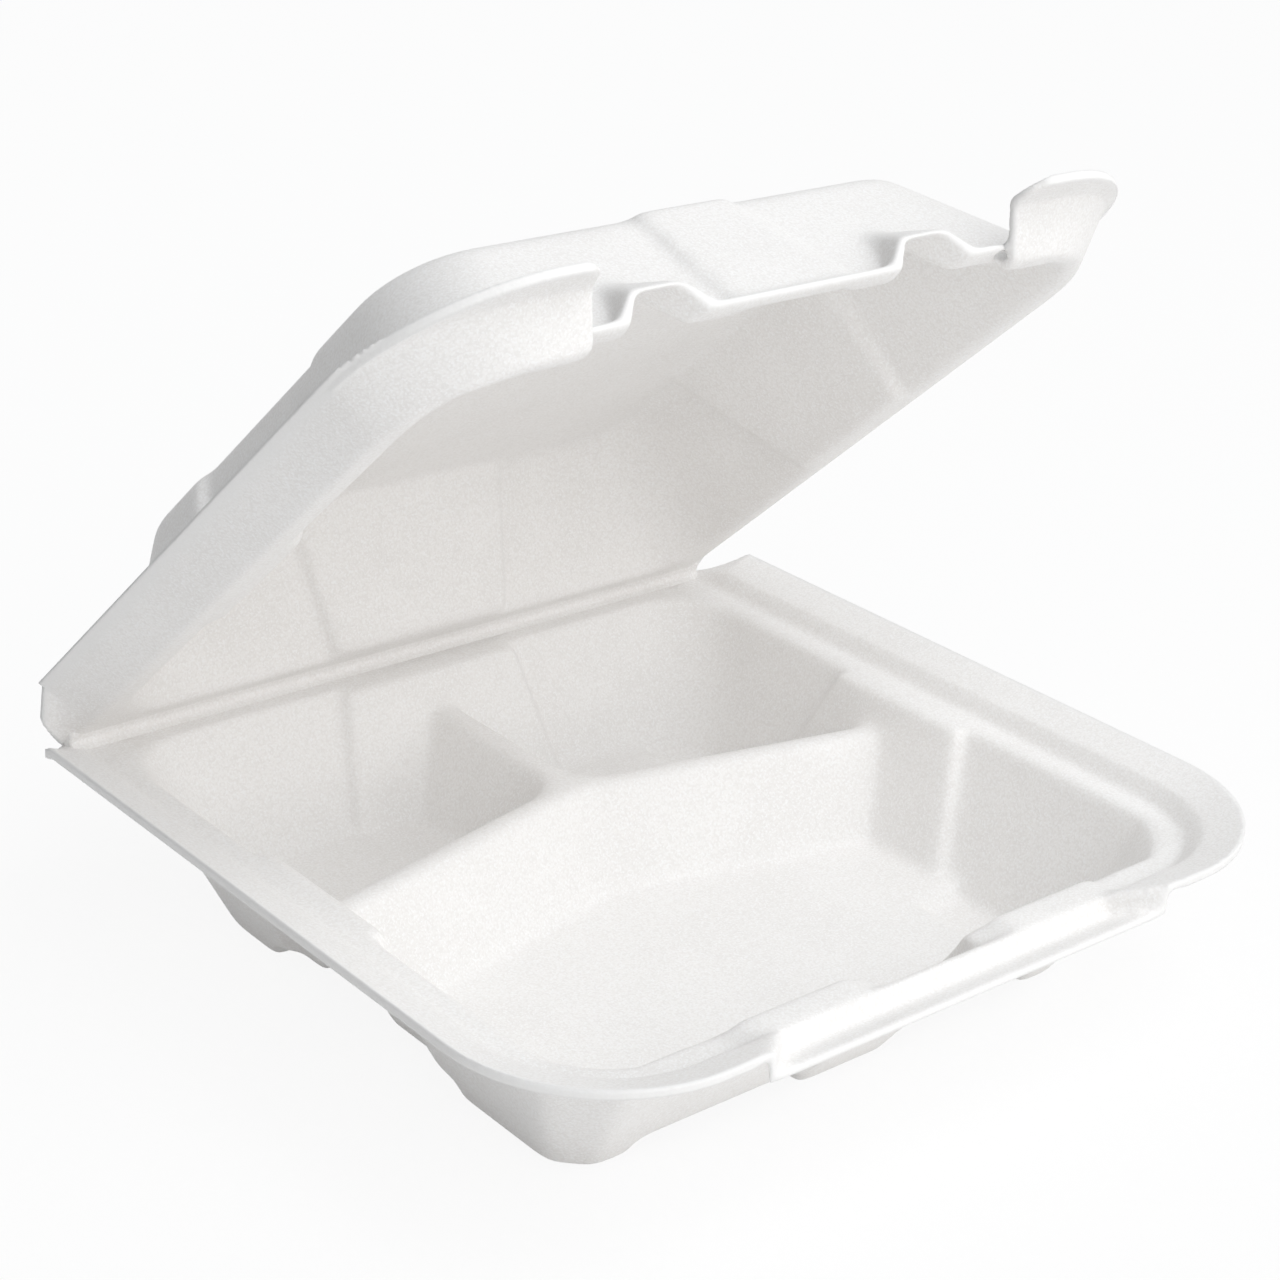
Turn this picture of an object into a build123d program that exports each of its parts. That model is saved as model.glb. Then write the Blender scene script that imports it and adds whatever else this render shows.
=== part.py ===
from build123d import *
import os
from math import hypot, radians, sqrt, tan

# Hinged food container pressed from one sheet of white foam: a tray with three
# compartments and a lid that folds on a crease along the back of the rim.
# X runs along the crease, the lock is at the front (-Y), and Z = 0 is the plane
# of the feet. The origin is under the middle of the open container. A reach is a
# distance from the crease towards the front.

# Driving dimensions, millimetres
container_width = 227.0
container_depth = 218.0
tray_height = 47.6
closed_height = 80.0
foam = 2.4
lid_open_angle = 42.0

# Rim: a dished outer flange, a step down and a ledge that carries the lid
flange_width = 9.8
flange_dish = 3.4
step_height = 4.2
step_flare = 3.2
ledge_width = 7.0
front_ledge_width = 8.0
back_ledge_width = 11.0
front_corner_radius = 41.0
crease_end_setback = 10.5
ramp_reach = 13.0

# Lean of the walls: run inwards for each millimetre of depth
side_lean = 0.425
front_lean = 0.60
back_lean = 0.45
lid_side_lean = 0.50
lid_front_lean = 0.68
lid_back_lean = 0.43
wall_corner_radius = 24.0
back_corner_radius = 20.0
tray_floor_round = 5.0
lid_top_round = 6.0

# Feet and pressed panels
foot_height = 3.5
foot_inset = 15.5
front_foot_length = 37.0
back_foot_length = 32.0
foot_corner_radius = 10.0
panel_depth = 3.4
panel_centre_reach = 99.0
panel_mouth_half = 20.0
panel_end_half = 33.0
back_panel_mouth_half = 25.0
back_panel_end_half = 32.0
front_panel_mouth_half = 18.0
front_panel_end_half = 13.5
front_panel_depth = 2.0
front_bay_depth = 2.0

# Dividers between the compartments
divider_drop = 16.1
divider_top_width = 6.0
divider_lean = 0.47
divider_top_round = 1.6
divider_junction_round = 14.0
divider_apex_reach = 75.5
divider_arm_angle = 12.5

# Front lock: a ridge with a lowered flange and two flat ears on the tray, two hoods on the lid
bar_half_length = 50.0
bar_end_slope = 1.05
bar_flange_width = 9.4
bar_flange_drop = 4.8
ear_spacing = 77.0
ear_half_foot = 21.0
ear_half_top = 15.0
ear_rise = 3.0
ear_setback = 1.5
ear_round = 1.2
hood_half_mouth = 16.4
hood_half_top = 7.6
hood_rise = 5.4
hood_height_on_wall = 16.0
hood_tip_share = 0.2
lid_mouth_outset = 3.0
lid_lip_width = 5.2
lid_gap_half_length = 60.0

# Lid rim and running clearances
lid_step_height = 10.8
lid_flange_width = 0.6
lid_front_flange_width = 8.2
lid_corner_radius = 38.0
lid_tab_round = 7.0
lid_ramp_reach = 14.5
lid_gap = 0.2
step_clearance = 0.7
lip_clearance = 0.9
crease_gap = 0.05

# Sizes that follow
hinge_y = container_depth / 2
half_width = container_width / 2
fold_height = tray_height - flange_dish
ledge_height = fold_height - step_height
axis_height = ledge_height + lid_gap / 2
lid_seat = ledge_height + lid_gap
step_corner_radius = front_corner_radius - flange_width
step_top_half = half_width - flange_width
step_foot_half = step_top_half - step_flare
step_top_reach = container_depth - flange_width
step_foot_reach = step_top_reach - step_flare
bar_reach = container_depth - bar_flange_width
mouth_half = step_foot_half - ledge_width
mouth_reach = step_foot_reach - front_ledge_width
lid_step_flare = step_flare * lid_step_height / step_height
lid_mouth_reach = mouth_reach + lid_mouth_outset
lid_lip_reach = lid_mouth_reach + lid_lip_width
crease_half = half_width - crease_end_setback
divider_height = tray_height - divider_drop
floor_height = foot_height + foam
front_bay_foot = mouth_reach - front_lean * (ledge_height - floor_height) + front_bay_depth
ridge_height = ledge_height + ear_rise
lip_height = ridge_height + lip_clearance
past = 30.0


def at(reach):
    """Y of a point at a reach from the crease."""
    return hinge_y - reach


def thick(lean):
    """Width that a leaning wall of foam takes up level with the ground."""
    return foam * hypot(1, lean)


def plan_face(half, back, front, height, front_radius, back_radius=0.0):
    """Level outline, square or round at the back corners and round at the front."""
    face = Pos(0, at((back + front) / 2), height) * Rectangle(2 * half, front - back)
    face = fillet(face.vertices().group_by(Axis.Y)[0], front_radius)
    if back_radius:
        face = fillet(face.vertices().group_by(Axis.Y)[-1], back_radius)
    return face


def plate(half, back, front, bottom, top, front_radius):
    """Flat plate with the plan of the rim."""
    return extrude(plan_face(half, back, front, bottom, front_radius), top - bottom)


def box_between(x_range, reach_range, z_range):
    """Box given by its limits in X, reach and Z."""
    centre = [sum(x_range) / 2, at(sum(reach_range) / 2), sum(z_range) / 2]
    size = [x_range[1] - x_range[0], reach_range[1] - reach_range[0], z_range[1] - z_range[0]]
    return Pos(*centre) * Box(*size)


def both_sides(solid):
    """A solid and its mirror image in the middle plane of the container."""
    return solid + mirror(solid, about=Plane.YZ)


def side_profile(points, x_start, x_end):
    """Prism along X from an outline of (reach, height) points."""
    outline = [(x_start, at(reach), height) for reach, height in points]
    face = make_face(Polyline(*outline, close=True))
    return extrude(face, x_end - x_start, dir=(1, 0, 0))


def front_profile(points):
    """Prism from the crease to the front from an outline of (x, height) points."""
    plane = Plane((0, at(0), 0), x_dir=(1, 0, 0), z_dir=(0, -1, 0))
    return extrude(plane * make_face(Polyline(*points, close=True)), container_depth)


class Tub:
    """Drafted hollow of the tray (going down) or of the lid (going up)."""

    def __init__(self, mouth_height, front_reach, heading, leans):
        self.mouth_height = mouth_height
        self.front_reach = front_reach
        self.heading = heading
        self.side, self.front, self.back = leans

    def limits(self, depth, skin):
        """Half width, back reach and front reach at a depth, inside (skin 0) or outside (skin 1)."""
        half = mouth_half - depth * self.side + skin * thick(self.side)
        back = back_ledge_width + depth * self.back - skin * thick(self.back)
        front = self.front_reach - depth * self.front + skin * thick(self.front)
        return half, back, front

    def solid(self, depth, skin, end_round=0.0, corner=wall_corner_radius):
        """Filled hollow from the mouth to a depth, with round corners and a round end edge."""
        half, back, front = self.limits(0, skin)
        end_half, end_back, end_front = self.limits(depth, skin)
        end_height = self.mouth_height + self.heading * depth
        lengthways = [(back, self.mouth_height), (front, self.mouth_height),
                      (end_front, end_height), (end_back, end_height)]
        across = [(-half, self.mouth_height), (half, self.mouth_height),
                  (end_half, end_height), (-end_half, end_height)]
        block = side_profile(lengthways, -half_width, half_width) & front_profile(across)
        corners = [edge for edge in block.edges() if edge.bounding_box().size.Z > depth / 2]
        corners = ShapeList(corners).sort_by(Axis.Y)
        block = fillet(corners[:2], corner + skin * foam)
        corners = [edge for edge in block.edges() if edge.bounding_box().size.Z > depth / 2]
        block = fillet(ShapeList(corners).group_by(Axis.Y)[-1], back_corner_radius + skin * foam)
        if end_round:
            faces = block.faces().sort_by(Axis.Z)
            end = faces[0] if self.heading < 0 else faces[-1]
            block = fillet(end.edges(), end_round + skin * foam)
        return block

    def foot_block(self, depth, skin):
        """Filled hollow whose front corners grow sharper from the mouth down to the feet."""
        diagonal = 1 / sqrt(2)
        spots = []
        for level, radius in ((0, wall_corner_radius), (depth, foot_corner_radius)):
            half, _, front = self.limits(level, skin)
            cut_back = (sqrt(2) - 1) * (radius + skin * foam)
            spots.append(((half + front) * diagonal - cut_back, self.mouth_height + self.heading * level))
        outline = [spots[0], spots[1], (spots[1][0] + past, spots[1][1]), (spots[0][0] + past, spots[0][1])]
        plane = Plane((0, at(0), 0), x_dir=(1, -1, 0), z_dir=(-1, -1, 0))
        cutter = extrude(plane * make_face(Polyline(*outline, close=True)), container_depth, both=True)
        sharp = self.solid(depth, skin, corner=foot_corner_radius)
        return self.solid(depth, skin) + (sharp - both_sides(cutter))

    def wall_plane(self, wall, skin):
        """Plane on a wall, facing outwards, with its origin at the mouth."""
        if wall == "side":
            origin = (mouth_half + skin * thick(self.side), at(panel_centre_reach), self.mouth_height)
            return Plane(origin, x_dir=(0, 1, 0), z_dir=(1, 0, self.heading * self.side))
        if wall == "front":
            origin = (0, at(self.front_reach + skin * thick(self.front)), self.mouth_height)
            return Plane(origin, x_dir=(1, 0, 0), z_dir=(0, -1, self.heading * self.front))
        origin = (0, at(back_ledge_width - skin * thick(self.back)), self.mouth_height)
        return Plane(origin, x_dir=(-1, 0, 0), z_dir=(0, 1, self.heading * self.back))

    def panel(self, wall, halves, span, near, far, skin, extra=0.0, edge=0.0):
        """Prism on a wall between two levels, as wide as halves at the mouth and after the span.

        The extra goes on past the span. The edge widens the inside so that the sheet stays whole.
        """
        mouth = halves[0] + (1 - skin) * edge
        end = mouth + (halves[1] - halves[0]) * (span + extra) / span
        length = self.heading * (span + extra)
        corners = [(-mouth, 0), (mouth, 0), (end, length), (-end, length)]
        plane = self.wall_plane(wall, skin).offset(near)
        return extrude(plane * make_face(Polyline(*corners, close=True)), far - near)


def divider_bar(start, end, shrink):
    """Divider with leaning sides between two (x, reach) points, or the groove under it."""
    along = Vector(end[0] - start[0], start[1] - end[1], 0)
    top = divider_height - shrink * foam
    bottom = foot_height - past * shrink if shrink else 0
    half_top = divider_top_width / 2 - shrink * (thick(divider_lean) - divider_lean * foam)
    half_foot = half_top + divider_lean * (top - bottom)
    section = [(-half_top, top), (half_top, top), (half_foot, bottom), (-half_foot, bottom)]
    plane = Plane((start[0], at(start[1]), 0), x_dir=(-along.Y, along.X, 0), z_dir=along)
    return extrude(plane * make_face(Polyline(*section, close=True)), along.length)


def dividers(shrink):
    """The two front arms and the short back divider, as one solid with a soft junction."""
    slope = tan(radians(divider_arm_angle))
    start, end = [(x, divider_apex_reach + slope * x) for x in (-past, half_width)]
    right_half = box_between((0, 2 * half_width), (-past, container_depth), (-2 * past, tray_height))
    arm = divider_bar(start, end, shrink) & right_half
    bars = both_sides(arm) + divider_bar((0, divider_apex_reach + divider_top_width / 2), (0, 0), shrink)
    apex = Vector(0, at(divider_apex_reach), divider_height / 2)
    climbing = bars.edges().filter_by(lambda edge: edge.bounding_box().size.Z > divider_height / 2)
    junction = climbing.filter_by(lambda edge: (edge.center() - apex).length < past)
    bars = fillet(junction, divider_junction_round)
    crest = bars.edges().group_by(Axis.Z)[-1].filter_by(lambda edge: abs(edge.center().X) < mouth_half)
    return fillet(crest, divider_top_round / (1 + shrink))


def foot_zones(clearance):
    """Columns that cut the four corner feet and the front middle foot out of a hollow."""
    depth = ledge_height
    foot_half = mouth_half - depth * side_lean - foot_inset + clearance
    front = mouth_reach - depth * front_lean
    front_zone = (front - front_foot_length + clearance, front + past)
    back_zone = (0, back_ledge_width + depth * back_lean + back_foot_length - clearance)
    middle_half = front_panel_end_half - clearance
    middle_zone = (front - foot_inset + clearance, front + past)
    heights = (-past, tray_height)
    corners = box_between((foot_half, half_width), front_zone, heights)
    corners += box_between((foot_half, half_width), back_zone, heights)
    return both_sides(corners) + box_between((-middle_half, middle_half), middle_zone, heights)


def rim_step(foot_half, foot_reach, heights, back, grown):
    """Filled step of the rim between two heights, flaring towards the flange."""
    low, high = heights
    radius = step_corner_radius + grown
    lower = plan_face(foot_half + grown, back, foot_reach + grown, low, radius)
    flare = step_flare * (high - low) / step_height
    upper = plan_face(foot_half + grown + flare, back, foot_reach + grown + flare, high, radius)
    return loft([lower, upper], ruled=True)


def crease_corner_cut():
    """Columns that take the corners off both ends of the crease."""
    outside = half_width + past
    corner = [(crease_half, -past), (crease_half, 0), (outside, ramp_reach + past), (outside, -past)]
    face = make_face(Polyline(*[(x, at(reach), -past) for x, reach in corner], close=True))
    return both_sides(extrude(face, closed_height + 2 * past))


def rim_end(section, base, reach):
    """End of a step and flange, coming down from their section to the ledge beside the crease.

    The base gives the height of each point of the section at the crease.
    """
    faces = []
    for spot, heights in ((crease_gap, base), (reach, [z for _, z in section])):
        outline = [(x, at(spot), z) for (x, _), z in zip(section, heights)]
        faces.append(make_face(Polyline(*outline, close=True)))
    return both_sides(loft(faces, ruled=True))


def flange_dish_solid(back, drop):
    """Space over the dished flange, or with a drop the body that its sheet is cut from."""
    fold = plan_face(step_top_half, back, step_top_reach, fold_height - drop, step_corner_radius)
    edge = plan_face(half_width, back, container_depth, tray_height - drop, front_corner_radius)
    return loft([fold, edge], ruled=True)


def tray_rim():
    """Flange, step and ledge of the tray, not yet opened over the compartments."""
    ledge = plate(step_foot_half + foam / 2, crease_gap, step_foot_reach + foam / 2,
                  ledge_height - foam, ledge_height, step_corner_radius)
    step_heights = (ledge_height - foam, fold_height)
    step = rim_step(step_foot_half, step_foot_reach, step_heights, ramp_reach, foam / 2)
    edge = plate(half_width, ramp_reach, container_depth,
                 tray_height - foam, tray_height, front_corner_radius)
    flange = flange_dish_solid(ramp_reach, foam) + edge - flange_dish_solid(-past, 0)
    well = rim_step(step_foot_half, step_foot_reach, (ledge_height, fold_height), -past, 0)
    section = [(step_foot_half, ledge_height), (step_top_half, fold_height), (half_width, tray_height),
               (half_width, tray_height - foam), (step_top_half + foam / 2, fold_height - foam),
               (step_foot_half + foam / 2, ledge_height - foam)]
    end = rim_end(section, [ledge_height] * 3 + [ledge_height - foam] * 3, ramp_reach)
    return ledge + ((step + flange) - well) + end - crease_corner_cut()


def ear(side, shrink):
    """Flat ear behind the ridge of the lock, or the hollow pressed up under it."""
    skin = shrink * foam
    foot = ear_half_foot - skin
    crest = ear_half_top - skin / 2
    base = ledge_height - foam * (1 + 2 * shrink)
    top = ridge_height - skin
    outline = [(-foot, base), (foot, base), (foot, ledge_height - skin), (crest, top),
               (-crest, top), (-foot, ledge_height - skin)]
    start = mouth_reach + ear_setback + skin
    plane = Plane((side * ear_spacing / 2, at(start), 0), x_dir=(1, 0, 0), z_dir=(0, -1, 0))
    face = plane * make_face(Polyline(*outline, close=True))
    face = fillet(face.vertices().group_by(Axis.Z)[-1], ear_round / (1 + shrink))
    return extrude(face, bar_reach - skin - start)


def lock_column(grown):
    """Column over the lowered part of the front rim, wider towards the outer edge."""
    half = bar_half_length + grown
    end_reach = container_depth + past
    end_half = half + bar_end_slope * (end_reach - bar_reach)
    corners = [(half, mouth_reach + foam), (half, bar_reach), (end_half, end_reach),
               (-end_half, end_reach), (-half, bar_reach), (-half, mouth_reach + foam)]
    bottom = ledge_height - bar_flange_drop - foam
    face = make_face(Polyline(*[(x, at(reach), bottom) for x, reach in corners], close=True))
    return extrude(face, tray_height + past - bottom)


def lock_bar():
    """Ridge across the front with the lowered flange outside it and the end walls of that flange."""
    low = ridge_height - bar_flange_drop
    low_edge = low + flange_dish
    back = bar_reach - 2 * foam
    bar = [
        (back, low - foam),
        (back, ledge_height),
        (bar_reach - foam, ridge_height),
        (bar_reach, ridge_height),
        (bar_reach, low),
        (container_depth, low_edge),
        (container_depth, low_edge - foam),
        (bar_reach, low - foam),
    ]
    ends = [(bar_reach, low - foam), (bar_reach, fold_height), (container_depth, tray_height),
            (container_depth, low_edge - foam)]
    body = side_profile(bar, -half_width, half_width) & lock_column(0)
    return body + (side_profile(ends, -half_width, half_width) & (lock_column(foam) - lock_column(0)))


def front_bay(skin):
    """Middle of the front wall, leaning out to the ridge: its outside (skin 1) or the space inside it."""
    lean = (bar_reach - foam - front_bay_foot) / (ridge_height - floor_height)
    bottom, top = (0, ledge_height) if skin else (floor_height, ridge_height)
    base = front_bay_foot + skin * thick(lean)
    wall = [(base + lean * (level - floor_height), level) for level in (bottom, top)]
    inside = mouth_reach - past
    inset = (1 - skin) * foam
    mouth = front_panel_mouth_half - inset
    end = front_panel_end_half - inset
    across = [(-end, 0), (end, 0), (mouth, ridge_height), (-mouth, ridge_height)]
    outline = [(inside, bottom), *wall, (inside, top)]
    return side_profile(outline, -half_width, half_width) & front_profile(across)


def build_tray():
    """Tray with its compartments, rim, feet, panels and lock bar."""
    tub = Tub(ledge_height, mouth_reach, -1, (side_lean, front_lean, back_lean))
    deep = ledge_height
    shallow = ledge_height - foot_height
    slope = hypot(1, side_lean) * deep
    outer = tub.solid(shallow, 1, tray_floor_round) + (tub.foot_block(deep, 1) & foot_zones(0))
    inner = tub.solid(shallow - foam, 0, tray_floor_round)
    inner += tub.foot_block(deep - foam, 0) & foot_zones(foam)

    side_halves = (panel_mouth_half, panel_end_half)
    back_halves = (back_panel_mouth_half, back_panel_end_half)
    outer -= both_sides(tub.panel("side", side_halves, slope, -panel_depth, past, 1, past))
    outer -= tub.panel("back", back_halves, slope, -panel_depth, past, 1, past)
    inner -= both_sides(tub.panel("side", side_halves, slope, -panel_depth, past, 0, past, foam))
    inner -= tub.panel("back", back_halves, slope, -panel_depth, past, 0, past, foam)

    ears = ear(-1, 0) + ear(1, 0)
    ear_hollows = ear(-1, 1) + ear(1, 1)
    body = (outer + front_bay(1) - dividers(1)) + (tray_rim() - lock_column(0)) + lock_bar() + ears
    return body - (inner - dividers(0)) - front_bay(0) - ear_hollows


def hood(side, skin):
    """Hood on the lid's front wall that passes over an ear, or the hollow inside it."""
    inset = (1 - skin) * foam
    foot = hood_half_mouth - inset
    crest = hood_half_top - inset / 2
    base = lip_height - inset
    mouth_top = lip_height + foam + hood_rise - inset
    tip_top = lip_height + foam + hood_height_on_wall - inset
    tip_reach = lid_mouth_reach - lid_front_lean * (tip_top - lid_seat) - inset
    faces = []
    ends = ((lid_lip_reach + inset, mouth_top, 1), (tip_reach, tip_top, hood_tip_share))
    for reach, top, share in ends:
        outline = [(-foot * share, base), (foot * share, base), (crest * share, top), (-crest * share, top)]
        plane = Plane((side * ear_spacing / 2, at(reach), 0), x_dir=(1, 0, 0), z_dir=(0, -1, 0))
        faces.append(plane * make_face(Polyline(*outline, close=True)))
    return loft(faces, ruled=True)


def lid_rim():
    """Ledge, step and raised outer flange of the lid, in the closed position."""
    foot_half = step_foot_half - step_clearance
    foot_reach = step_foot_reach - step_clearance
    flange_seat = lid_seat + lid_step_height
    flange_top = flange_seat + foam
    outer_half = foot_half + lid_step_flare + lid_flange_width
    ledge = plate(foot_half, crease_gap, foot_reach, lid_seat, lid_seat + foam, step_corner_radius)
    step = rim_step(foot_half, foot_reach, (lid_seat, flange_top), lid_ramp_reach, 0)
    flange = plate(outer_half, lid_ramp_reach, foot_reach + lid_step_flare + lid_front_flange_width,
                   flange_seat, flange_top, lid_corner_radius)
    well = rim_step(foot_half, foot_reach, (lid_seat + foam, flange_top + foam), -past, -foam / 2)
    fold_half = foot_half + lid_step_flare
    section = [(foot_half, lid_seat), (fold_half, flange_seat), (outer_half, flange_seat),
               (outer_half, flange_top), (fold_half - foam / 2, flange_top),
               (foot_half - foam / 2, lid_seat + foam)]
    end = rim_end(section, [lid_seat] * 3 + [lid_seat + foam] * 3, lid_ramp_reach)
    return ledge + ((step + flange) - well) + end - crease_corner_cut()


def tab_corner_cut():
    """Columns that round the front corners of the lid's two flange ends."""
    reach = step_foot_reach - step_clearance + lid_step_flare + lid_front_flange_width
    x_range = (lid_gap_half_length - past, lid_gap_half_length + lid_tab_round)
    block = box_between(x_range, (reach - lid_tab_round, reach + past), (lid_seat, closed_height))
    centre = Pos(lid_gap_half_length + lid_tab_round, at(reach - lid_tab_round), closed_height / 2)
    return both_sides(block - centre * Cylinder(lid_tab_round, 2 * closed_height))


def build_lid():
    """Lid in the closed position over the tray."""
    tub = Tub(lid_seat, lid_mouth_reach, 1, (lid_side_lean, lid_front_lean, lid_back_lean))
    depth = closed_height - lid_seat
    slope = hypot(1, lid_side_lean) * depth
    front_slope = hypot(1, lid_front_lean) * depth
    outer = tub.solid(depth, 1, lid_top_round)
    inner = tub.solid(depth - foam, 0, lid_top_round)

    side_halves = (panel_mouth_half, panel_end_half)
    back_halves = (back_panel_mouth_half, back_panel_end_half)
    front_halves = (front_panel_mouth_half, front_panel_end_half)
    for wall, halves in (("side", side_halves), ("back", back_halves)):
        dent = tub.panel(wall, halves, slope, -panel_depth, past, 1, past)
        bulge = tub.panel(wall, halves, slope, -panel_depth, past, 0, past, foam)
        outer -= both_sides(dent)
        inner -= both_sides(bulge)
    plan = ((-half_width, half_width), (0, container_depth))
    under_top = box_between(*plan, (lid_seat, closed_height))
    under_roof = box_between(*plan, (lid_seat, closed_height - foam))
    outer += tub.panel("front", front_halves, front_slope, -foam / 2, front_panel_depth, 1) & under_top
    inner_halves = (front_panel_mouth_half - foam, front_panel_end_half - foam)
    inner += tub.panel("front", inner_halves, front_slope, -foam / 2, front_panel_depth, 0) & under_roof

    gap_x = (-lid_gap_half_length, lid_gap_half_length)
    outside = container_depth + past
    ledge_gap = box_between(gap_x, (mouth_reach - past, outside), (lid_seat - past, lip_height))
    flange_gap = box_between(gap_x, (lid_lip_reach, outside), (lip_height, closed_height))
    lip = box_between(gap_x, (mouth_reach - 2 * foam, lid_lip_reach), (lip_height, lip_height + foam))
    hoods = hood(-1, 1) + hood(1, 1)
    hood_hollows = hood(-1, 0) + hood(1, 0)
    body = (outer + lid_rim()) - ledge_gap - flange_gap - tab_corner_cut() + lip + hoods
    return body - inner - hood_hollows


def open_lid(lid):
    """Turn the closed lid up about the crease."""
    crease = Axis((0, hinge_y, axis_height), (1, 0, 0))
    return lid.rotate(crease, -lid_open_angle)


def main():
    """Build both halves, centre the open container over the origin and write it out."""
    os.makedirs("parts", exist_ok=True)
    halves = {"tray": build_tray(), "lid": open_lid(build_lid())}
    limits = [solid.bounding_box() for solid in halves.values()]
    middle = (min(box.min.Y for box in limits) + max(box.max.Y for box in limits)) / 2
    print("crease at Y", round(hinge_y - middle, 4), "Z", axis_height)
    for name, solid in halves.items():
        print(name, "solids", len(solid.solids()), "volume", round(solid.volume), "valid", solid.is_valid)
        export_step(Pos(0, -middle, 0) * solid, f"parts/{name}.step")


main()
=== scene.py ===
import logging
import math
from dataclasses import dataclass
from enum import Enum
from typing import Any

import bpy
import numpy as np
from mathutils import Euler, Matrix, Vector


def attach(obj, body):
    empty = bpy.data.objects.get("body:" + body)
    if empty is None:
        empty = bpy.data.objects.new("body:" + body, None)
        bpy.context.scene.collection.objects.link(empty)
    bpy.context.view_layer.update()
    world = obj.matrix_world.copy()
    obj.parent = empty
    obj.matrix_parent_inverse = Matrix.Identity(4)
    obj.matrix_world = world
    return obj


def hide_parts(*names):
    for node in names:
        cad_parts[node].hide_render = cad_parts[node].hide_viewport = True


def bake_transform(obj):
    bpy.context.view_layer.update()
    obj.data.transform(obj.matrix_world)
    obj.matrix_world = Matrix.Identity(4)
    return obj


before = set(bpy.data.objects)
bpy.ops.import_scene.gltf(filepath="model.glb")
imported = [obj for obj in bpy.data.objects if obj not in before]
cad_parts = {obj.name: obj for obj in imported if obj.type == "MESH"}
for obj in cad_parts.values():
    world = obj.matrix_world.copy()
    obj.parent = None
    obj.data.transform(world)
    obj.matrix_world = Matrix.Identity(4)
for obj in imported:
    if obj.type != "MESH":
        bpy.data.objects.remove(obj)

log = logging.getLogger("foam_container")
MM = 0.001
Colour = tuple[float, float, float]
Place = tuple[float, float, float]
Turn = tuple[float, float, float]
Range = tuple[float, float]
WHITE = (1, 1, 1, 1)


class Half(Enum):
    """The two halves of the pressed sheet, by the names of their bodies."""

    TRAY = "tray"
    LID = "lid"


class Wire:
    """A shader value: wraps one output socket so that sums read as Python."""

    def __init__(self, bench: "Bench", socket: bpy.types.NodeSocket) -> None:
        """Keep the socket and the bench that adds nodes beside it."""
        self.bench = bench
        self.socket = socket

    def _math(self, operation: str, first: Any, second: Any) -> "Wire":
        """Add one Math node.

        Args:
            operation: Blender's name of the operation.
            first: Left value, a wire or a number.
            second: Right value, a wire or a number.

        Returns:
            The node's value.
        """
        return self.bench.node("ShaderNodeMath", {"operation": operation}, {0: first, 1: second})

    def __add__(self, other: Any) -> "Wire":
        """Sum with another value."""
        return self._math("ADD", self, other)

    def __radd__(self, other: Any) -> "Wire":
        """Sum with a number on the left."""
        return self._math("ADD", other, self)

    def __sub__(self, other: Any) -> "Wire":
        """Difference from another value."""
        return self._math("SUBTRACT", self, other)

    def __rsub__(self, other: Any) -> "Wire":
        """A number less this value."""
        return self._math("SUBTRACT", other, self)

    def __mul__(self, other: Any) -> "Wire":
        """Product with another value."""
        return self._math("MULTIPLY", self, other)

    def __rmul__(self, other: Any) -> "Wire":
        """Product with a number on the left."""
        return self._math("MULTIPLY", other, self)

    def ramp(self, low: float, high: float) -> "Wire":
        """Rise smoothly from 0 at low to 1 at high.

        Args:
            low: Value that gives 0.
            high: Value that gives 1.

        Returns:
            The eased share.
        """
        settings = {"interpolation_type": "SMOOTHSTEP", "clamp": True}
        inputs = {"Value": self, "From Min": low, "From Max": high}
        return self.bench.node("ShaderNodeMapRange", settings, inputs)


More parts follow.
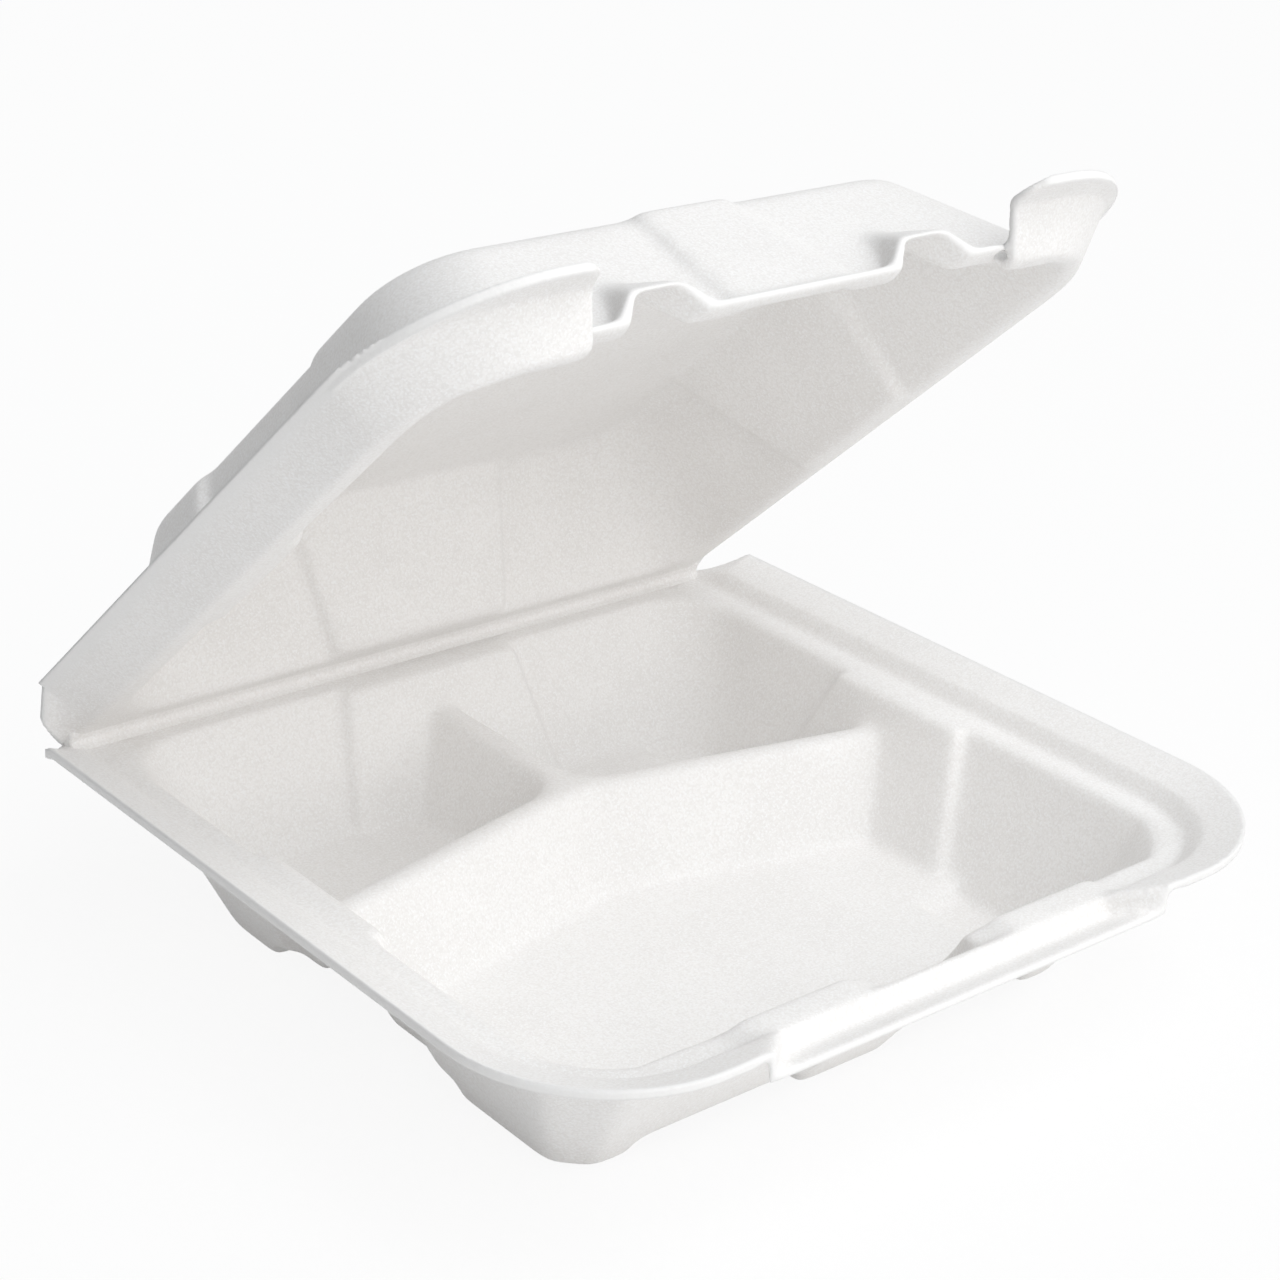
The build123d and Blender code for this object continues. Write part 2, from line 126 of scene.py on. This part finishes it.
class Bench:
    """The node tree of a material or of the world, with a single method that adds nodes."""

    def __init__(self, owner: bpy.types.Material | bpy.types.World) -> None:
        """Clear the tree of a material or of the world.

        Args:
            owner: The new material or world.
        """
        owner.use_nodes = True
        self.owner = owner
        self.tree = owner.node_tree
        self.tree.nodes.clear()

    def node(self, kind: str, settings: dict[str, Any], inputs: dict[Any, Any], output: Any = 0) -> Wire:
        """Add one node, set it up and feed its sockets.

        Args:
            kind: Blender's type name of the node.
            settings: Properties of the node, set before its sockets are read.
            inputs: Socket name or index to a wire or a plain value.
            output: Name or index of the socket to hand on.

        Returns:
            The chosen output.
        """
        made = self.tree.nodes.new(kind)
        for key, value in settings.items():
            setattr(made, key, value)
        for key, value in inputs.items():
            if isinstance(value, Wire):
                self.tree.links.new(value.socket, made.inputs[key])
            else:
                made.inputs[key].default_value = value
        return Wire(self, made.outputs[output])

    def place(self) -> Wire:
        """Object coordinates in millimetres."""
        metres = self.node("ShaderNodeTexCoord", {}, {}, "Object")
        return self.node("ShaderNodeVectorMath", {"operation": "SCALE"}, {0: metres, "Scale": 1 / MM})

    def noise(self, where: Wire, size: float, detail: float) -> Wire:
        """Cloudy noise whose clumps are about size millimetres across."""
        inputs = {"Vector": where, "Scale": 1 / size, "Detail": detail}
        return self.node("ShaderNodeTexNoise", {}, inputs)

    def sight(self) -> Wire:
        """1 on rays that show the background: straight from the camera, mirrored or through glass."""
        kinds = ("Is Camera Ray", "Is Glossy Ray", "Is Transmission Ray")
        return sum(self.node("ShaderNodeLightPath", {}, {}, kind) for kind in kinds).ramp(0.0, 1.0)

    def attribute(self, name: str) -> Wire:
        """A value stored on the mesh's points."""
        return self.node("ShaderNodeAttribute", {"attribute_name": name}, {}, "Fac")

    def blend(self, share: Any, first: Any, second: Any) -> Wire:
        """Mix of two colours.

        Args:
            share: Part of the second colour, 0 to 1.
            first: Colour where the share is 0.
            second: Colour where the share is 1.

        Returns:
            The mixed colour.
        """
        inputs = {0: share, 6: first, 7: second}
        return self.node("ShaderNodeMix", {"data_type": "RGBA"}, inputs, 2)

    def facing(self, direction: Wire, axis: Place) -> Wire:
        """How far a direction points along an axis, from -1 to 1."""
        inputs = {0: direction, 1: axis}
        return self.node("ShaderNodeVectorMath", {"operation": "DOT_PRODUCT"}, inputs, "Value")

    def finish(self, shader: Wire, sink: str) -> Any:
        """Send a shader to the output node.

        Args:
            shader: The last shader of the tree.
            sink: Blender's type name of the output node.

        Returns:
            The material or world that owns the tree.
        """
        end = self.tree.nodes.new(sink)
        self.tree.links.new(shader.socket, end.inputs["Surface"])
        return self.owner


@dataclass(frozen=True)
class FoamSkin:
    """White pressed foam: a satin skin over fine beads, matt along cut edges. Sizes in millimetres."""

    name: str = "pressed_foam"
    tint: Colour = (0.955, 0.942, 0.928)
    shade: Colour = (0.855, 0.836, 0.818)
    glint: Colour = (0.99, 0.985, 0.978)
    cut_tint: Colour = (0.92, 0.914, 0.905)
    bead_size: float = 0.8
    bead_range: Range = (0.25, 0.80)
    bead_share: float = 0.55
    bead_depth: float = 0.05
    grain_size: float = 0.55
    grain_detail: float = 1.0
    grain_range: Range = (0.50, 0.68)
    grain_share: float = 0.9
    peel_size: float = 6.0
    peel_detail: float = 3.0
    peel_depth: float = 0.10
    mottle_size: float = 26.0
    mottle_detail: float = 4.0
    mottle_range: Range = (0.38, 0.72)
    mottle_share: float = 0.35
    mottle_middle: float = 0.5
    mottle_roughness: float = 0.12
    cut_share: float = 0.8
    cut_roughness: float = 0.25
    roughness: float = 0.52
    relief: float = 0.6
    gloss: float = 0.4

    def make(self) -> bpy.types.Material:
        """Build the material.

        Returns:
            The finished material.
        """
        bench = Bench(bpy.data.materials.new(self.name))
        where = bench.place()
        beads = bench.node("ShaderNodeTexVoronoi", {"feature": "F1"},
                           {"Vector": where, "Scale": 1 / self.bead_size}, "Distance")
        grain = bench.noise(where, self.grain_size, self.grain_detail)
        peel = bench.noise(where, self.peel_size, self.peel_detail)
        mottle = bench.noise(where, self.mottle_size, self.mottle_detail)
        cut = bench.attribute("cut")
        shade = (*self.shade, 1)
        tone = bench.blend(mottle.ramp(*self.mottle_range) * self.mottle_share, (*self.tint, 1), shade)
        tone = bench.blend(beads.ramp(*self.bead_range) * self.bead_share, tone, shade)
        tone = bench.blend(grain.ramp(*self.grain_range) * self.grain_share, tone, (*self.glint, 1))
        tone = bench.blend(cut * self.cut_share, tone, (*self.cut_tint, 1))
        height = (1 - beads) * self.bead_depth + peel * self.peel_depth + grain * self.bead_depth
        bump = bench.node("ShaderNodeBump", {}, {"Strength": self.relief, "Distance": MM, "Height": height})
        cloud = (mottle - self.mottle_middle) * self.mottle_roughness
        rough = self.roughness + cloud + cut * self.cut_roughness
        inputs = {"Base Color": tone, "Roughness": rough, "Normal": bump, "Specular IOR Level": self.gloss}
        shader = bench.node("ShaderNodeBsdfPrincipled", {}, inputs)
        return bench.finish(shader, "ShaderNodeOutputMaterial")


@dataclass(frozen=True)
class PaleFloor:
    """Matt white studio floor that keeps a soft shadow."""

    name: str = "studio_floor"
    tint: Colour = (0.95, 0.95, 0.95)
    lift: float = 0.9

    def make(self) -> bpy.types.Material:
        """Build the material.

        Returns:
            The finished material.
        """
        bench = Bench(bpy.data.materials.new(self.name))
        matt = bench.node("ShaderNodeBsdfDiffuse", {}, {"Color": (*self.tint, 1)})
        white = bench.node("ShaderNodeEmission", {}, {"Color": WHITE, "Strength": 1.0})
        shader = bench.node("ShaderNodeMixShader", {}, {0: bench.sight() * self.lift, 1: matt, 2: white})
        return bench.finish(shader, "ShaderNodeOutputMaterial")


@dataclass(frozen=True)
class Crease:
    """Line that the lid swings on, in millimetres, and how far the lid stands open, in degrees."""

    y: float = 105.7923
    z: float = 40.1
    open_angle: float = 42.0

    def middle(self) -> Vector:
        """Middle of the crease, in metres."""
        return Vector((0, self.y, self.z)) * MM


CREASE = Crease()


@dataclass(frozen=True)
class TrimLine:
    """Outline that one half of the sheet is cut to, in millimetres."""

    half_width: float
    front: float
    corner: float
    crease_half: float = 103.0
    crease_slant: float = 1.0617
    lip_half: float = 0.0
    lip_front: float = 0.0

    def depth(self, x: np.ndarray, reach: np.ndarray) -> np.ndarray:
        """Distance of points inside the outline.

        Args:
            x: Places along the crease.
            reach: Distances from the crease.

        Returns:
            Millimetres to the nearest cut edge.
        """
        side = np.abs(x)
        over_x = side - (self.half_width - self.corner)
        over_y = reach - (self.front - self.corner)
        outside = np.hypot(np.maximum(over_x, 0), np.maximum(over_y, 0))
        inside = self.corner - outside - np.minimum(np.maximum(over_x, over_y), 0)
        slant = (reach - (side - self.crease_half) * self.crease_slant) / math.hypot(1, self.crease_slant)
        inside = np.minimum(inside, slant)
        if self.lip_half:
            lip = np.where(side < self.lip_half, self.lip_front - reach, np.inf)
            tab = np.where(reach > self.lip_front, np.abs(side - self.lip_half), np.inf)
            inside = np.minimum(inside, np.minimum(np.abs(lip), tab))
        return inside


@dataclass
class FoamShell:
    """One half of the container as a soft-edged pressed shell in place of its solid.

    Lengths are in millimetres. The swing, in degrees, lays the half in its closed place while it is
    remeshed, so that its edges run along the grid.
    """

    half: Half
    piece: str
    trim: TrimLine
    swing: float = 0.0
    weld: float = 0.002
    grid_depth: int = 8
    grid_fill: float = 0.99
    smooth_factor: float = 0.5
    fold_rounds: int = 9
    press_rounds: int = 44
    lock_rounds: int = 26
    triangles: int = 188000
    weight_steps: int = 20
    cut_hold: float = 0.5
    cut_least: float = 0.15
    crease_hold: float = 1.5
    press_half: float = 96.0
    press_back: float = 10.0
    press_front: float = 198.0
    press_fade: float = 3.0
    lock_half: float = 66.0
    lock_back: float = 190.0
    fade: float = 4.0
    cut_band: float = 1.6
    cut_fade: float = 1.0

    def build(self) -> bpy.types.Object:
        """Soften a copy of the solid.

        Returns:
            The finished mesh in its place.
        """
        shell = self._copy()
        self._turn(shell, self.swing)
        self._apply(shell, "REMESH", mode="SHARP", octree_depth=self.grid_depth, scale=self.grid_fill,
                    sharpness=1.0, use_remove_disconnected=False)
        self._weigh(shell)
        rounds = {"folds": self.fold_rounds, "pressed": self.press_rounds, "lock": self.lock_rounds}
        for group, count in rounds.items():
            self._apply(shell, "SMOOTH", factor=self.smooth_factor, iterations=count, vertex_group=group)
        total = sum(len(face.vertices) - 2 for face in shell.data.polygons)
        if total > self.triangles:
            self._apply(shell, "DECIMATE", ratio=self.triangles / total)
        shell.vertex_groups.clear()
        self._mark_cut(shell)
        self._turn(shell, -self.swing)
        bpy.ops.object.shade_smooth()
        return shell

    def dress(self, shell: bpy.types.Object, finish: bpy.types.Material) -> None:
        """Give the shell its finish and let it ride on its body.

        Args:
            shell: The built shell.
            finish: The foam material.
        """
        shell.data.materials.clear()
        shell.data.materials.append(finish)
        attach(shell, self.half.value)
        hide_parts(self.half.value)

    def _copy(self) -> bpy.types.Object:
        """Copy the solid's mesh into a new object and weld its triangles.

        Returns:
            The copy, alone and active.
        """
        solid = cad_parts[self.half.value]
        shell = bpy.data.objects.new(self.piece, solid.data.copy())
        bpy.context.scene.collection.objects.link(shell)
        bpy.ops.object.select_all(action="DESELECT")
        shell.select_set(True)
        bpy.context.view_layer.objects.active = shell
        bpy.ops.object.mode_set(mode="EDIT")
        bpy.ops.mesh.select_all(action="SELECT")
        bpy.ops.mesh.remove_doubles(threshold=self.weld * MM)
        bpy.ops.object.mode_set(mode="OBJECT")
        return shell

    @staticmethod
    def _apply(shell: bpy.types.Object, kind: str, **settings: Any) -> None:
        """Add one modifier and apply it.

        Args:
            shell: The active piece.
            kind: Blender's type name of the modifier.
            settings: Properties of the modifier.
        """
        step = shell.modifiers.new(kind.lower(), kind)
        for key, value in settings.items():
            setattr(step, key, value)
        bpy.ops.object.modifier_apply(modifier=step.name)

    @staticmethod
    def _turn(shell: bpy.types.Object, angle: float) -> None:
        """Swing the mesh about the crease.

        Args:
            shell: The piece.
            angle: Degrees, positive to close the lid.
        """
        crease = Matrix.Translation(CREASE.middle())
        shell.data.transform(crease @ Matrix.Rotation(math.radians(angle), 4, "X") @ crease.inverted())

    @staticmethod
    def _plan(shell: bpy.types.Object) -> tuple[np.ndarray, np.ndarray]:
        """Places of the vertices seen from above, in millimetres.

        Args:
            shell: The piece to read, in its closed place.

        Returns:
            Distances along the crease from its middle, and from the crease to the front.
        """
        flat = np.empty(len(shell.data.vertices) * 3)
        shell.data.vertices.foreach_get("co", flat)
        places = flat.reshape(-1, 3) / MM
        return places[:, 0], CREASE.y - places[:, 1]

    @staticmethod
    def _rise(distance: np.ndarray, width: float) -> np.ndarray:
        """Share that rises from 0 to 1 over a width."""
        return np.clip(distance / width, 0, 1)

    def _weigh(self, shell: bpy.types.Object) -> None:
        """Mark how much each point takes of the light smoothing, of the deep one and of the lock's.

        Args:
            shell: The remeshed piece.
        """
        x, reach = self._plan(shell)
        side = np.abs(x)
        off_cut = self._rise(self.trim.depth(x, reach) - self.cut_hold, self.fade)
        off_cut = np.maximum(off_cut, self.cut_least)
        off_crease = self._rise(reach - self.crease_hold, self.fade)
        inward = self._rise(self.press_half - side, self.press_fade)
        inward *= self._rise(self.press_front - reach, self.fade)
        inward *= self._rise(reach - self.press_back, self.press_fade)
        lock = self._rise(self.lock_half - side, self.fade) * self._rise(reach - self.lock_back, self.fade)
        self._group(shell, "folds", off_cut * off_crease)
        self._group(shell, "pressed", inward * off_cut)
        self._group(shell, "lock", lock)

    def _group(self, shell: bpy.types.Object, name: str, weights: np.ndarray) -> None:
        """Store weights as a vertex group, in even steps.

        Args:
            shell: The piece.
            name: The group's name.
            weights: One weight for each vertex, 0 to 1.
        """
        group = shell.vertex_groups.new(name=name)
        steps = np.round(weights * self.weight_steps).astype(int)
        for step in range(1, self.weight_steps + 1):
            chosen = np.nonzero(steps == step)[0]
            if len(chosen):
                group.add(chosen.tolist(), step / self.weight_steps, "REPLACE")

    def _mark_cut(self, shell: bpy.types.Object) -> None:
        """Store how near each point is to the trimmed outline of the sheet.

        Args:
            shell: The finished mesh.
        """
        share = self._rise(self.cut_band - self.trim.depth(*self._plan(shell)), self.cut_fade)
        layer = shell.data.attributes.new("cut", "FLOAT", "POINT")
        layer.data.foreach_set("value", share.astype(np.float32))


@dataclass
class FoldBand:
    """Soft crease that joins the two halves. Lengths in millimetres."""

    piece: str = "fold_band"
    half_length: float = 102.6
    back_radius: float = 2.3
    rows: int = 24
    bend_half: float = 1.6
    smooth_levels: int = 2
    near: float = 0.05

    def section(self) -> dict[int, Range]:
        """Where each row of the bar goes: its step from the middle row to (outwards, across)."""
        return {0: (3.44, 0.0), 1: (3.78, 1.09), 2: (5.98, 2.56), 3: (5.39, 4.10), 4: (2.01, 3.13)}

    @staticmethod
    def axes() -> tuple[Vector, Vector]:
        """Directions out of the fold along its middle and across it from the tray to the lid."""
        middle = math.radians(CREASE.open_angle / 2)
        out = Vector((0, -math.cos(middle), math.sin(middle)))
        return out, Vector((0, math.sin(middle), math.cos(middle)))

    def build(self) -> bpy.types.Object:
        """Shape a bar into the fold.

        Returns:
            The finished mesh in its place.
        """
        band = self._bar()
        self._press(band)
        self._hold_ends()
        bpy.ops.object.modifier_add(type="SUBSURF")
        band.modifiers[-1].levels = self.smooth_levels
        band.modifiers[-1].render_levels = self.smooth_levels
        bpy.ops.object.modifier_apply(modifier=band.modifiers[-1].name)
        bpy.ops.object.shade_smooth()
        return band

    def dress(self, band: bpy.types.Object, finish: bpy.types.Material) -> None:
        """Give the band its finish and bake its place into its mesh.

        Args:
            band: The built band.
            finish: The foam material.
        """
        band.data.materials.append(finish)
        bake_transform(band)

    def _step(self) -> float:
        """Angle between two rows of the bar, in radians."""
        return 2 * math.pi / self.rows

    def _bar(self) -> bpy.types.Object:
        """Lay a round bar along the crease, with one row of points on the fold's middle.

        Returns:
            The bar, alone and active.
        """
        crease = CREASE.middle()
        bpy.ops.object.select_all(action="DESELECT")
        bpy.ops.mesh.primitive_cylinder_add(
            vertices=self.rows, radius=self.back_radius * MM, depth=2 * self.half_length * MM,
            end_fill_type="NGON", location=crease, rotation=(0, math.pi / 2, 0))
        band = bpy.context.object
        band.name = self.piece
        bpy.ops.object.transform_apply(location=True, rotation=True, scale=True)
        step = self._step()
        for vertex in band.data.vertices:
            turn = round(math.atan2(vertex.co.z - crease.z, crease.y - vertex.co.y) / step) * step
            turn += math.radians(CREASE.open_angle / 2)
            spot = crease + self.back_radius * MM * Vector((0, -math.cos(turn), math.sin(turn)))
            vertex.co = Vector((vertex.co.x, spot.y, spot.z))
        return band

    def _press(self, band: bpy.types.Object) -> None:
        """Move the front rows of the bar to the fold's section.

        Args:
            band: The active piece.
        """
        out, across = self.axes()
        crease = CREASE.middle()
        for row, (far, wide) in self.section().items():
            for side in ((1,) if row == 0 else (-1, 1)):
                angle = side * row * self._step()
                start = self.back_radius * (math.cos(angle) * out + math.sin(angle) * across)
                self._move(band, crease + start * MM, (far * out + side * wide * across - start) * MM)

    def _move(self, band: bpy.types.Object, place: Vector, shift: Vector) -> None:
        """Move the row of the bar that lies at a place of the section.

        Args:
            band: The active piece.
            place: A point of the row, metres; its x is of no account.
            shift: The way to move it, metres.
        """
        bpy.ops.object.mode_set(mode="EDIT")
        bpy.ops.mesh.select_all(action="DESELECT")
        bpy.ops.object.mode_set(mode="OBJECT")
        for vertex in band.data.vertices:
            away = math.hypot(vertex.co.y - place.y, vertex.co.z - place.z)
            vertex.select = away < self.near * MM
        bpy.ops.object.mode_set(mode="EDIT")
        bpy.ops.transform.translate(value=shift)
        bpy.ops.object.mode_set(mode="OBJECT")

    def _hold_ends(self) -> None:
        """Cut the active bar near both ends, so that the subdivision keeps its length."""
        bpy.ops.object.mode_set(mode="EDIT")
        for end in (-1, 1):
            bpy.ops.mesh.select_all(action="SELECT")
            inset = Vector((end * (self.half_length - self.back_radius / 2) * MM, 0, 0))
            bpy.ops.mesh.bisect(plane_co=CREASE.middle() + inset, plane_no=(1, 0, 0))
        bpy.ops.object.mode_set(mode="OBJECT")


@dataclass(frozen=True)
class SoftRoom:
    """Light from all round: a broad soft panel at the front, a weak one at the back right, dim elsewhere."""

    name: str = "studio"
    panels: tuple[tuple[Place, float], ...] = (((0.1, -0.77, 0.63), 1.46), ((0.55, 0.72, 0.43), 0.25))
    spread: Range = (0.12, 1.0)
    dim: float = 0.02
    low_tint: Colour = (1.0, 0.975, 0.95)
    high_tint: Colour = (0.95, 0.975, 1.0)
    tint_range: Range = (0.0, 0.9)

    def make(self) -> bpy.types.World:
        """Build the world.

        Returns:
            The finished world, white to the camera.
        """
        bench = Bench(bpy.data.worlds.new(self.name))
        direction = bench.node("ShaderNodeTexCoord", {}, {}, "Generated")
        height = bench.facing(direction, (0, 0, 1)).ramp(*self.tint_range)
        tint = bench.blend(height, (*self.low_tint, 1), (*self.high_tint, 1))
        level = sum((bench.facing(direction, axis).ramp(*self.spread) * strength
                     for axis, strength in self.panels), self.dim)
        glow = bench.node("ShaderNodeBackground", {}, {"Color": tint, "Strength": level})
        white = bench.node("ShaderNodeBackground", {}, {"Color": WHITE, "Strength": 1.0})
        shader = bench.node("ShaderNodeMixShader", {}, {0: bench.sight(), 1: glow, 2: white})
        return bench.finish(shader, "ShaderNodeOutputWorld")


@dataclass
class Studio:
    """Floor, lights and the camera at the photograph's angle.

    The camera's place and the floor's drop are in millimetres, the rest in metres, watts and degrees.
    """

    camera_place: Place = (-398.12, -459.42, 349.28)
    camera_turn: Turn = (66.2211, -2.3655, -39.2171)
    lens: float = 78.396
    sensor: float = 36.0
    shift: Range = (0.0079, 0.0007)
    floor_size: float = 8.0
    floor_drop: float = 0.05
    lamp_place: Place = (0.25, -0.5, 1.4)
    lamp_aim: Place = (0, 0, 0.06)
    lamp_size: float = 0.6
    lamp_watts: float = 3.4

    def build(self) -> None:
        """Set up the floor, the light and the camera."""
        self._floor()
        bpy.context.scene.world = SoftRoom().make()
        self._lamp()
        self._camera()
        bpy.context.scene.view_settings.view_transform = "Standard"

    def _floor(self) -> None:
        """Lay the floor under the feet."""
        bpy.ops.object.select_all(action="DESELECT")
        bpy.ops.mesh.primitive_plane_add(size=self.floor_size, location=(0, 0, -self.floor_drop * MM))
        floor = bpy.context.object
        floor.name = "floor"
        bpy.ops.object.transform_apply(location=True, rotation=True, scale=True)
        floor.data.materials.append(PaleFloor().make())

    def _lamp(self) -> None:
        """Hang one soft square lamp and aim it at the container."""
        data = bpy.data.lights.new("key", "AREA")
        data.size = self.lamp_size
        data.energy = self.lamp_watts
        lamp = bpy.data.objects.new("key", data)
        lamp.location = self.lamp_place
        aim = Vector(self.lamp_aim) - Vector(self.lamp_place)
        lamp.rotation_euler = aim.to_track_quat("-Z", "Y").to_euler()
        bpy.context.scene.collection.objects.link(lamp)

    def _camera(self) -> None:
        """Put the camera where the photograph was taken from."""
        data = bpy.data.cameras.new("camera")
        data.lens = self.lens
        data.sensor_width = self.sensor
        data.shift_x, data.shift_y = self.shift
        camera = bpy.data.objects.new("camera", data)
        camera.location = Vector(self.camera_place) * MM
        camera.rotation_euler = Euler([math.radians(angle) for angle in self.camera_turn])
        bpy.context.scene.collection.objects.link(camera)
        bpy.context.scene.camera = camera


def main() -> None:
    logging.basicConfig(level=logging.INFO)
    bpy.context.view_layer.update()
    foam = FoamSkin().make()
    tray_trim = TrimLine(half_width=113.5, front=218.0, corner=41.0)
    lid_trim = TrimLine(half_width=108.63, front=220.73, corner=38.0, lip_half=60.0, lip_front=205.2)
    makers = (
        FoamShell(Half.TRAY, "foam_tray", tray_trim),
        FoamShell(Half.LID, "foam_lid", lid_trim, swing=CREASE.open_angle),
        FoldBand(),
    )
    for maker in makers:
        piece = maker.build()
        maker.dress(piece, foam)
        log.info("%s: %d faces", piece.name, len(piece.data.polygons))
    Studio().build()


if __name__ == "__main__":
    main()
